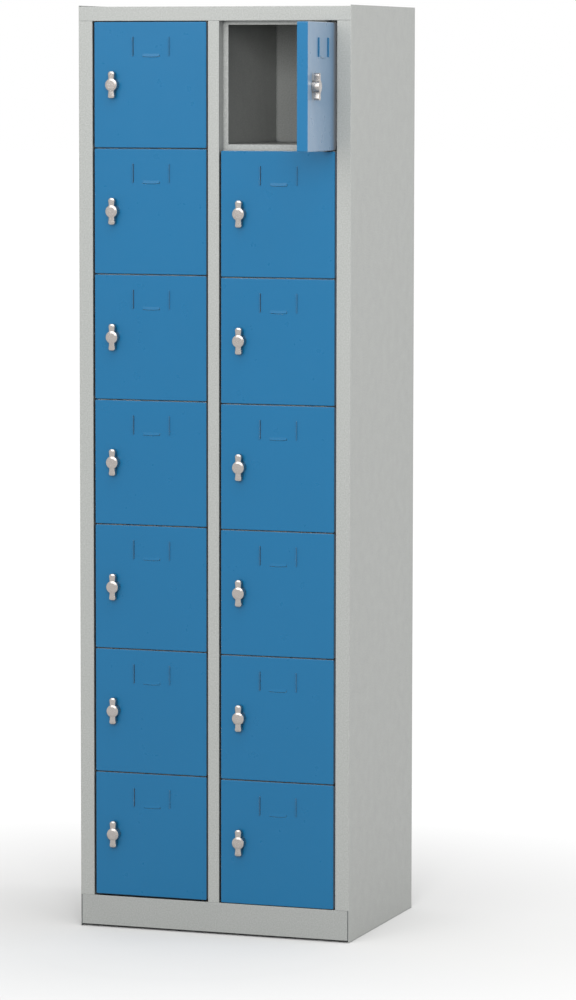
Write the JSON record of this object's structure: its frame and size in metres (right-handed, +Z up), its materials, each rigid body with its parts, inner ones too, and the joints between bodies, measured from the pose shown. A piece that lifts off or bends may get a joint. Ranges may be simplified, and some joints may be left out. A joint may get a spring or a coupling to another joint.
{
  "type": "coin operated locker",
  "caption": "Tall grey steel storage locker with columns of square compartments behind side-hinged blue doors, each with card slots and a turn handle that works a latch cam.",
  "frame": {"origin": "on the floor, under the middle of the cabinet's footprint", "axes": "+Z up, +X to the right seen from the front, +Y from the front towards the back"},
  "size_m": [0.555, 0.6073, 1.8],
  "materials": {
    "frame_grey": "satin grey enamel",
    "door_blue": "gloss blue enamel",
    "handle_chrome": "polished plate",
    "cam_steel": "zinc plated",
    "hinge_steel": "zinc plated"
  },
  "bodies": {
    "cabinet": {"side_panel_left": "frame_grey", "side_panel_right": "frame_grey", "back_panel": "frame_grey", "top_panel": "frame_grey", "base_pan": "frame_grey", "front_header": "frame_grey", "plinth_panel": "frame_grey", "stile_left": "frame_grey", "stile_right": "frame_grey", "centre_post": "frame_grey", "door_stop_left": "frame_grey", "door_stop_right": "frame_grey", "centre_partition": "frame_grey", "shelves_left": "frame_grey", "shelves_right": "frame_grey", "hinge_tabs": "hinge_steel", "hinge_pins": "hinge_steel"},
    "door_left_1": {"door_shell_left_1": "door_blue"},
    "handle_left_1": {"turn_handle_left_1": "handle_chrome", "latch_cam_left_1": "cam_steel"},
    "door_left_2": {"door_shell_left_2": "door_blue"},
    "handle_left_2": {"turn_handle_left_2": "handle_chrome", "latch_cam_left_2": "cam_steel"},
    "door_left_3": {"door_shell_left_3": "door_blue"},
    "handle_left_3": {"turn_handle_left_3": "handle_chrome", "latch_cam_left_3": "cam_steel"},
    "door_left_4": {"door_shell_left_4": "door_blue"},
    "handle_left_4": {"turn_handle_left_4": "handle_chrome", "latch_cam_left_4": "cam_steel"},
    "door_left_5": {"door_shell_left_5": "door_blue"},
    "handle_left_5": {"turn_handle_left_5": "handle_chrome", "latch_cam_left_5": "cam_steel"},
    "door_left_6": {"door_shell_left_6": "door_blue"},
    "handle_left_6": {"turn_handle_left_6": "handle_chrome", "latch_cam_left_6": "cam_steel"},
    "door_left_7": {"door_shell_left_7": "door_blue"},
    "handle_left_7": {"turn_handle_left_7": "handle_chrome", "latch_cam_left_7": "cam_steel"},
    "door_right_1": {"door_shell_right_1": "door_blue"},
    "handle_right_1": {"turn_handle_right_1": "handle_chrome", "latch_cam_right_1": "cam_steel"},
    "door_right_2": {"door_shell_right_2": "door_blue"},
    "handle_right_2": {"turn_handle_right_2": "handle_chrome", "latch_cam_right_2": "cam_steel"},
    "door_right_3": {"door_shell_right_3": "door_blue"},
    "handle_right_3": {"turn_handle_right_3": "handle_chrome", "latch_cam_right_3": "cam_steel"},
    "door_right_4": {"door_shell_right_4": "door_blue"},
    "handle_right_4": {"turn_handle_right_4": "handle_chrome", "latch_cam_right_4": "cam_steel"},
    "door_right_5": {"door_shell_right_5": "door_blue"},
    "handle_right_5": {"turn_handle_right_5": "handle_chrome", "latch_cam_right_5": "cam_steel"},
    "door_right_6": {"door_shell_right_6": "door_blue"},
    "handle_right_6": {"turn_handle_right_6": "handle_chrome", "latch_cam_right_6": "cam_steel"},
    "door_right_7": {"door_shell_right_7": "door_blue"},
    "handle_right_7": {"turn_handle_right_7": "handle_chrome", "latch_cam_right_7": "cam_steel"}
  },
  "joints": [
    {"name": "door_hinge_left_1", "type": "hinge", "parent": "cabinet", "child": "door_left_1", "pos_m": [-0.0281, -0.19, 1.64775], "axis": [0, 0, 1], "range_deg": [0, 110]},
    {"name": "handle_turn_left_1", "type": "hinge", "parent": "door_left_1", "child": "handle_left_1", "pos_m": [-0.2053, -0.2, 1.64775], "axis": [0, -1, 0], "range_deg": [0, 90]},
    {"name": "door_hinge_left_2", "type": "hinge", "parent": "cabinet", "child": "door_left_2", "pos_m": [-0.0281, -0.19, 1.40425], "axis": [0, 0, 1], "range_deg": [0, 110]},
    {"name": "handle_turn_left_2", "type": "hinge", "parent": "door_left_2", "child": "handle_left_2", "pos_m": [-0.2053, -0.2, 1.40425], "axis": [0, -1, 0], "range_deg": [0, 90]},
    {"name": "door_hinge_left_3", "type": "hinge", "parent": "cabinet", "child": "door_left_3", "pos_m": [-0.0281, -0.19, 1.16075], "axis": [0, 0, 1], "range_deg": [0, 110]},
    {"name": "handle_turn_left_3", "type": "hinge", "parent": "door_left_3", "child": "handle_left_3", "pos_m": [-0.2053, -0.2, 1.16075], "axis": [0, -1, 0], "range_deg": [0, 90]},
    {"name": "door_hinge_left_4", "type": "hinge", "parent": "cabinet", "child": "door_left_4", "pos_m": [-0.0281, -0.19, 0.91725], "axis": [0, 0, 1], "range_deg": [0, 110]},
    {"name": "handle_turn_left_4", "type": "hinge", "parent": "door_left_4", "child": "handle_left_4", "pos_m": [-0.2053, -0.2, 0.91725], "axis": [0, -1, 0], "range_deg": [0, 90]},
    {"name": "door_hinge_left_5", "type": "hinge", "parent": "cabinet", "child": "door_left_5", "pos_m": [-0.0281, -0.19, 0.67375], "axis": [0, 0, 1], "range_deg": [0, 110]},
    {"name": "handle_turn_left_5", "type": "hinge", "parent": "door_left_5", "child": "handle_left_5", "pos_m": [-0.2053, -0.2, 0.67375], "axis": [0, -1, 0], "range_deg": [0, 90]},
    {"name": "door_hinge_left_6", "type": "hinge", "parent": "cabinet", "child": "door_left_6", "pos_m": [-0.0281, -0.19, 0.43025], "axis": [0, 0, 1], "range_deg": [0, 110]},
    {"name": "handle_turn_left_6", "type": "hinge", "parent": "door_left_6", "child": "handle_left_6", "pos_m": [-0.2053, -0.2, 0.43025], "axis": [0, -1, 0], "range_deg": [0, 90]},
    {"name": "door_hinge_left_7", "type": "hinge", "parent": "cabinet", "child": "door_left_7", "pos_m": [-0.0281, -0.19, 0.18675], "axis": [0, 0, 1], "range_deg": [0, 110]},
    {"name": "handle_turn_left_7", "type": "hinge", "parent": "door_left_7", "child": "handle_left_7", "pos_m": [-0.2053, -0.2, 0.18675], "axis": [0, -1, 0], "range_deg": [0, 90]},
    {"name": "door_hinge_right_1", "type": "hinge", "parent": "cabinet", "child": "door_right_1", "pos_m": [0.2323, -0.19, 1.64535], "axis": [0, 0, 1], "range_deg": [-95, 15]},
    {"name": "handle_turn_right_1", "type": "hinge", "parent": "door_right_1", "child": "handle_right_1", "pos_m": [0.25771, -0.36565, 1.64535], "axis": [0.9962, 0.0872, 0], "range_deg": [0, 90]},
    {"name": "door_hinge_right_2", "type": "hinge", "parent": "cabinet", "child": "door_right_2", "pos_m": [0.2323, -0.19, 1.40185], "axis": [0, 0, 1], "range_deg": [0, 110]},
    {"name": "handle_turn_right_2", "type": "hinge", "parent": "door_right_2", "child": "handle_right_2", "pos_m": [0.0551, -0.2, 1.40185], "axis": [0, -1, 0], "range_deg": [0, 90]},
    {"name": "door_hinge_right_3", "type": "hinge", "parent": "cabinet", "child": "door_right_3", "pos_m": [0.2323, -0.19, 1.15835], "axis": [0, 0, 1], "range_deg": [0, 110]},
    {"name": "handle_turn_right_3", "type": "hinge", "parent": "door_right_3", "child": "handle_right_3", "pos_m": [0.0551, -0.2, 1.15835], "axis": [0, -1, 0], "range_deg": [0, 90]},
    {"name": "door_hinge_right_4", "type": "hinge", "parent": "cabinet", "child": "door_right_4", "pos_m": [0.2323, -0.19, 0.91485], "axis": [0, 0, 1], "range_deg": [0, 110]},
    {"name": "handle_turn_right_4", "type": "hinge", "parent": "door_right_4", "child": "handle_right_4", "pos_m": [0.0551, -0.2, 0.91485], "axis": [0, -1, 0], "range_deg": [0, 90]},
    {"name": "door_hinge_right_5", "type": "hinge", "parent": "cabinet", "child": "door_right_5", "pos_m": [0.2323, -0.19, 0.67135], "axis": [0, 0, 1], "range_deg": [0, 110]},
    {"name": "handle_turn_right_5", "type": "hinge", "parent": "door_right_5", "child": "handle_right_5", "pos_m": [0.0551, -0.2, 0.67135], "axis": [0, -1, 0], "range_deg": [0, 90]},
    {"name": "door_hinge_right_6", "type": "hinge", "parent": "cabinet", "child": "door_right_6", "pos_m": [0.2323, -0.19, 0.42785], "axis": [0, 0, 1], "range_deg": [0, 110]},
    {"name": "handle_turn_right_6", "type": "hinge", "parent": "door_right_6", "child": "handle_right_6", "pos_m": [0.0551, -0.2, 0.42785], "axis": [0, -1, 0], "range_deg": [0, 90]},
    {"name": "door_hinge_right_7", "type": "hinge", "parent": "cabinet", "child": "door_right_7", "pos_m": [0.2323, -0.19, 0.18435], "axis": [0, 0, 1], "range_deg": [0, 110]},
    {"name": "handle_turn_right_7", "type": "hinge", "parent": "door_right_7", "child": "handle_right_7", "pos_m": [0.0551, -0.2, 0.18435], "axis": [0, -1, 0], "range_deg": [0, 90]}
  ]
}
